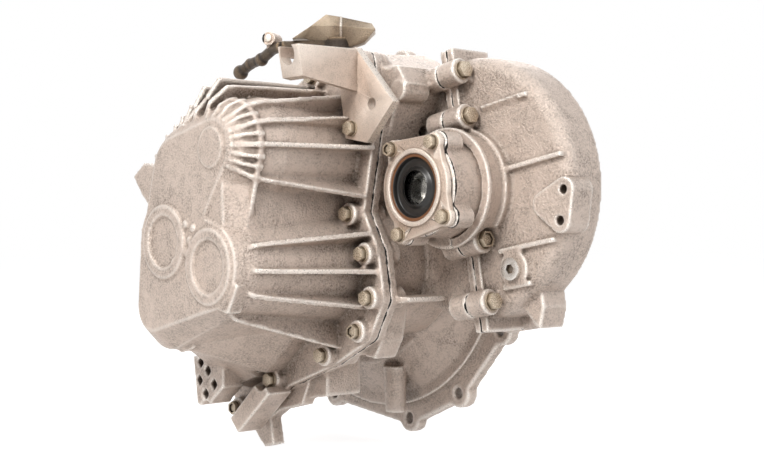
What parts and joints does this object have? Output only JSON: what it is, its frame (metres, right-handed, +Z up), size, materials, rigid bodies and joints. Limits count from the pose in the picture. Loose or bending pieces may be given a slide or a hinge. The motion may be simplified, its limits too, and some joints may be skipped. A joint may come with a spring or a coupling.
{
  "type": "vehicle transmission",
  "caption": "Transverse manual transaxle: bell housing, ribbed gear case, differential housing with bolted cover, sealed axle output, selector lever and mount bracket.",
  "frame": {"origin": "on the input shaft's axis, in the plane of the bell housing's engine face", "axes": "+X along the input shaft towards the engine, +Z up, the differential towards -Y"},
  "size_m": [0.342, 0.5681, 0.482],
  "materials": {
    "cast_aluminium": "as-cast, bead-rough",
    "machined_steel": "ground",
    "zinc_bolts": "yellow zinc, worn",
    "seal_rubber": "moulded",
    "bracket_aluminium": "satin",
    "lever_metal": "passivated, dull",
    "plug_metal": "plain"
  },
  "bodies": {
    "casing": {"main_housing": "cast_aluminium", "gear_case": "cast_aluminium", "differential_cover": "cast_aluminium", "output_seal_retainer": "bracket_aluminium", "left_output_seal": "seal_rubber", "right_output_seal": "seal_rubber", "gear_case_bolts": "zinc_bolts", "differential_cover_bolts": "zinc_bolts", "retainer_bolts": "zinc_bolts", "drain_plug": "plug_metal", "top_mount_bracket": "bracket_aluminium", "breather": "plug_metal", "selector_rails": "machined_steel", "shaft_bearing_cups": "machined_steel", "differential_bearing_cups": "machined_steel", "release_cylinder": "machined_steel", "selector_turret_cover": "bracket_aluminium"},
    "input_shaft": {"input_shaft": "machined_steel", "input_first_gear": "machined_steel", "input_second_gear": "machined_steel", "input_third_gear": "machined_steel", "input_fourth_gear": "machined_steel", "input_fifth_gear": "machined_steel", "input_shaft_bearings": "machined_steel"},
    "lower_output_shaft": {"lower_output_shaft": "machined_steel", "lower_final_pinion": "machined_steel", "lower_shaft_bearings": "machined_steel"},
    "upper_output_shaft": {"upper_output_shaft": "machined_steel", "upper_final_pinion": "machined_steel", "upper_shaft_bearings": "machined_steel"},
    "differential": {"differential_case": "machined_steel", "ring_gear": "machined_steel", "ring_gear_bolts": "machined_steel", "cross_pin": "machined_steel", "differential_bearings": "machined_steel"},
    "left_side_gear": {"left_side_gear": "machined_steel"},
    "right_side_gear": {"right_side_gear": "machined_steel"},
    "upper_spider_gear": {"upper_spider_gear": "machined_steel"},
    "lower_spider_gear": {"lower_spider_gear": "machined_steel"},
    "selector_shaft": {"selector_shaft": "machined_steel"},
    "selector_lever": {"selector_lever": "lever_metal"},
    "release_bearing": {"release_bearing": "machined_steel"},
    "reverse_gear_wheel": {"reverse_gear_wheel": "machined_steel"},
    "first_gear_wheel": {"first_gear_wheel": "machined_steel"},
    "second_gear_wheel": {"second_gear_wheel": "machined_steel"},
    "third_gear_wheel": {"third_gear_wheel": "machined_steel"},
    "fourth_gear_wheel": {"fourth_gear_wheel": "machined_steel"},
    "fifth_gear_wheel": {"fifth_gear_wheel": "machined_steel"},
    "first_second_sleeve": {"first_second_sleeve": "machined_steel"},
    "first_second_fork": {"first_second_fork": "machined_steel"},
    "third_fourth_sleeve": {"third_fourth_sleeve": "machined_steel"},
    "third_fourth_fork": {"third_fourth_fork": "machined_steel"},
    "fifth_sleeve": {"fifth_sleeve": "machined_steel"},
    "fifth_fork": {"fifth_fork": "machined_steel"},
    "reverse_sleeve": {"reverse_sleeve": "machined_steel"},
    "reverse_fork": {"reverse_fork": "machined_steel"}
  },
  "joints": [
    {"name": "input_spin", "type": "hinge", "parent": "casing", "child": "input_shaft", "pos_m": [0, 0, 0], "axis": [1, 0, 0], "continuous": true},
    {"name": "differential_spin", "type": "hinge", "parent": "casing", "child": "differential", "pos_m": [-0.07, -0.215, 0.053], "axis": [1, 0, 0], "continuous": true},
    {"name": "lower_shaft_spin", "type": "hinge", "parent": "casing", "child": "lower_output_shaft", "pos_m": [-0.1, -0.079, -0.024], "axis": [1, 0, 0], "continuous": true},
    {"name": "upper_shaft_spin", "type": "hinge", "parent": "casing", "child": "upper_output_shaft", "pos_m": [-0.1, -0.082, 0.092], "axis": [1, 0, 0], "continuous": true},
    {"name": "first_wheel_spin", "type": "hinge", "parent": "casing", "child": "first_gear_wheel", "pos_m": [-0.15, -0.079, -0.024], "axis": [1, 0, 0], "continuous": true},
    {"name": "second_wheel_spin", "type": "hinge", "parent": "casing", "child": "second_gear_wheel", "pos_m": [-0.15, -0.079, -0.024], "axis": [1, 0, 0], "continuous": true},
    {"name": "third_wheel_spin", "type": "hinge", "parent": "casing", "child": "third_gear_wheel", "pos_m": [-0.15, -0.079, -0.024], "axis": [1, 0, 0], "continuous": true},
    {"name": "fourth_wheel_spin", "type": "hinge", "parent": "casing", "child": "fourth_gear_wheel", "pos_m": [-0.15, -0.079, -0.024], "axis": [1, 0, 0], "continuous": true},
    {"name": "fifth_wheel_spin", "type": "hinge", "parent": "casing", "child": "fifth_gear_wheel", "pos_m": [-0.15, -0.079, -0.024], "axis": [1, 0, 0], "continuous": true},
    {"name": "reverse_wheel_spin", "type": "hinge", "parent": "casing", "child": "reverse_gear_wheel", "pos_m": [-0.102, -0.082, 0.092], "axis": [1, 0, 0], "continuous": true},
    {"name": "left_side_gear_spin", "type": "hinge", "parent": "differential", "child": "left_side_gear", "pos_m": [-0.1, -0.215, 0.053], "axis": [1, 0, 0], "continuous": true},
    {"name": "right_side_gear_spin", "type": "hinge", "parent": "differential", "child": "right_side_gear", "pos_m": [-0.1, -0.215, 0.053], "axis": [1, 0, 0], "continuous": true},
    {"name": "upper_spider_spin", "type": "hinge", "parent": "differential", "child": "upper_spider_gear", "pos_m": [-0.1, -0.215, 0.053], "axis": [0, 0, 1], "continuous": true},
    {"name": "lower_spider_spin", "type": "hinge", "parent": "differential", "child": "lower_spider_gear", "pos_m": [-0.1, -0.215, 0.053], "axis": [0, 0, 1], "continuous": true},
    {"name": "first_second_fork_slide", "type": "slide", "parent": "casing", "child": "first_second_fork", "axis": [1, 0, 0], "range_m": [-0.0065, 0.0065]},
    {"name": "first_second_sleeve_slide", "type": "slide", "parent": "lower_output_shaft", "child": "first_second_sleeve", "axis": [1, 0, 0], "range_m": [-0.0065, 0.0065]},
    {"name": "third_fourth_fork_slide", "type": "slide", "parent": "casing", "child": "third_fourth_fork", "axis": [1, 0, 0], "range_m": [-0.0065, 0.0065]},
    {"name": "third_fourth_sleeve_slide", "type": "slide", "parent": "lower_output_shaft", "child": "third_fourth_sleeve", "axis": [1, 0, 0], "range_m": [-0.0065, 0.0065]},
    {"name": "fifth_fork_slide", "type": "slide", "parent": "casing", "child": "fifth_fork", "axis": [1, 0, 0], "range_m": [0, 0.0065]},
    {"name": "fifth_sleeve_slide", "type": "slide", "parent": "lower_output_shaft", "child": "fifth_sleeve", "axis": [1, 0, 0], "range_m": [0, 0.0065]},
    {"name": "reverse_fork_slide", "type": "slide", "parent": "casing", "child": "reverse_fork", "axis": [1, 0, 0], "range_m": [0, 0.0065]},
    {"name": "reverse_sleeve_slide", "type": "slide", "parent": "upper_output_shaft", "child": "reverse_sleeve", "axis": [1, 0, 0], "range_m": [0, 0.0065]},
    {"name": "selector_select", "type": "slide", "parent": "casing", "child": "selector_shaft", "axis": [0, 0, 1], "range_m": [-0.004, 0.006]},
    {"name": "selector_shift", "type": "hinge", "parent": "selector_shaft", "child": "selector_lever", "pos_m": [-0.1, -0.018, 0.22], "axis": [0, 0, 1], "range_deg": [-18, 18]},
    {"name": "release_bearing_slide", "type": "slide", "parent": "casing", "child": "release_bearing", "axis": [1, 0, 0], "range_m": [0, 0.008]}
  ],
  "couplings": [
    {"joint": "lower_shaft_spin", "follows": "differential_spin", "ratio": -2.75},
    {"joint": "upper_shaft_spin", "follows": "differential_spin", "ratio": -4.7143},
    {"joint": "first_wheel_spin", "follows": "input_spin", "ratio": -0.26316},
    {"joint": "second_wheel_spin", "follows": "input_spin", "ratio": -0.5},
    {"joint": "third_wheel_spin", "follows": "input_spin", "ratio": -0.77778},
    {"joint": "fourth_wheel_spin", "follows": "input_spin", "ratio": -1.087},
    {"joint": "fifth_wheel_spin", "follows": "input_spin", "ratio": -1.4},
    {"joint": "reverse_wheel_spin", "follows": "input_spin", "ratio": 0.33333},
    {"joint": "right_side_gear_spin", "follows": "left_side_gear_spin", "ratio": -1},
    {"joint": "upper_spider_spin", "follows": "left_side_gear_spin", "ratio": 1.6},
    {"joint": "lower_spider_spin", "follows": "left_side_gear_spin", "ratio": -1.6},
    {"joint": "first_second_sleeve_slide", "follows": "first_second_fork_slide", "ratio": 1},
    {"joint": "third_fourth_sleeve_slide", "follows": "third_fourth_fork_slide", "ratio": 1},
    {"joint": "fifth_sleeve_slide", "follows": "fifth_fork_slide", "ratio": 1},
    {"joint": "reverse_sleeve_slide", "follows": "reverse_fork_slide", "ratio": 1}
  ]
}
